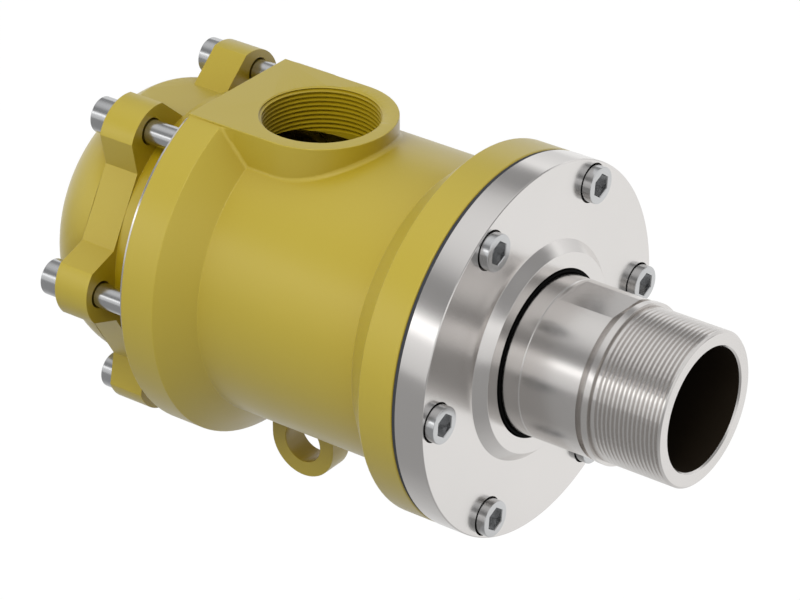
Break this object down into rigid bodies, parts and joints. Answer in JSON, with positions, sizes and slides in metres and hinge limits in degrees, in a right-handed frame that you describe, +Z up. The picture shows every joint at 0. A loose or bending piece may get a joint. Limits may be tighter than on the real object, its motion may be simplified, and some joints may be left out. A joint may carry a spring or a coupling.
{
  "type": "hydraulic rotary union",
  "caption": "Single-passage rotary union: yellow cast housing with top inlet port and eared rear cap, stainless flanged cover and threaded hollow rotor on ball bearings.",
  "frame": {"origin": "on the rotor axis, at the centre of the rotor's threaded front end face", "axes": "+X along the rotor axis out of the threaded end, +Z up out of the inlet port, +Y completes the right-handed set"},
  "size_m": [0.3422, 0.184, 0.2066],
  "materials": {
    "cast_paint": "satin mustard yellow paint over cast iron",
    "cover_stainless": "fine turned stainless steel",
    "rotor_stainless": "ground and turned stainless steel",
    "gasket_fibre": "dark fibre sheet",
    "screw_steel": "bright steel screw",
    "screw_black": "black oxide steel",
    "seal_rubber": "black nitrile rubber",
    "spring_steel": "drawn spring steel",
    "bearing_steel": "ground bearing steel",
    "ball_steel": "polished bearing balls",
    "cage_brass": "machined brass",
    "spacer_steel": "turned steel",
    "seat_ceramic": "lapped alumina",
    "ring_carbon": "lapped resin-filled carbon",
    "collar_dark": "dark phosphated steel"
  },
  "bodies": {
    "housing_body": {"housing": "cast_paint", "front_cover": "cover_stainless", "cover_gasket": "gasket_fibre", "cover_screws": "screw_steel", "lip_seal": "seal_rubber", "garter_spring": "spring_steel", "front_bearing_outer_race": "bearing_steel", "rear_bearing_outer_race": "bearing_steel", "outer_spacer": "spacer_steel", "seal_seat": "seat_ceramic", "seat_o_ring": "seal_rubber", "adapter_ring": "cover_stainless", "adapter_o_ring": "seal_rubber", "rear_cap": "cast_paint", "cap_o_ring": "seal_rubber", "cap_screws": "screw_steel"},
    "rotor_body": {"rotor": "rotor_stainless", "front_bearing_inner_race": "bearing_steel", "rear_bearing_inner_race": "bearing_steel", "inner_spacer": "spacer_steel", "bearing_circlip": "spring_steel", "drive_collar": "collar_dark", "collar_circlip": "spring_steel", "set_screws": "screw_black", "drive_pins": "spacer_steel", "seal_springs": "spring_steel"},
    "front_ball_body": {"front_bearing_balls": "ball_steel", "front_bearing_cage": "cage_brass"},
    "rear_ball_body": {"rear_bearing_balls": "ball_steel", "rear_bearing_cage": "cage_brass"},
    "seal_ring_body": {"seal_ring": "ring_carbon", "seal_ring_o_ring": "seal_rubber"}
  },
  "joints": [
    {"name": "rotor_spin", "type": "hinge", "parent": "housing_body", "child": "rotor_body", "pos_m": [0, 0, 0], "axis": [1, 0, 0], "continuous": true},
    {"name": "front_ball_roll", "type": "hinge", "parent": "housing_body", "child": "front_ball_body", "pos_m": [-0.1221, 0, 0], "axis": [1, 0, 0], "continuous": true},
    {"name": "rear_ball_roll", "type": "hinge", "parent": "housing_body", "child": "rear_ball_body", "pos_m": [-0.1661, 0, 0], "axis": [1, 0, 0], "continuous": true},
    {"name": "seal_ring_float", "type": "slide", "parent": "rotor_body", "child": "seal_ring_body", "axis": [-1, 0, 0], "range_m": [0, 0.0015], "stiffness_N_per_m": 6000, "springref_m": -0.001, "deforming": ["seal_springs"]}
  ],
  "couplings": [
    {"joint": "front_ball_roll", "follows": "rotor_spin", "ratio": 0.441},
    {"joint": "rear_ball_roll", "follows": "rotor_spin", "ratio": 0.441}
  ]
}
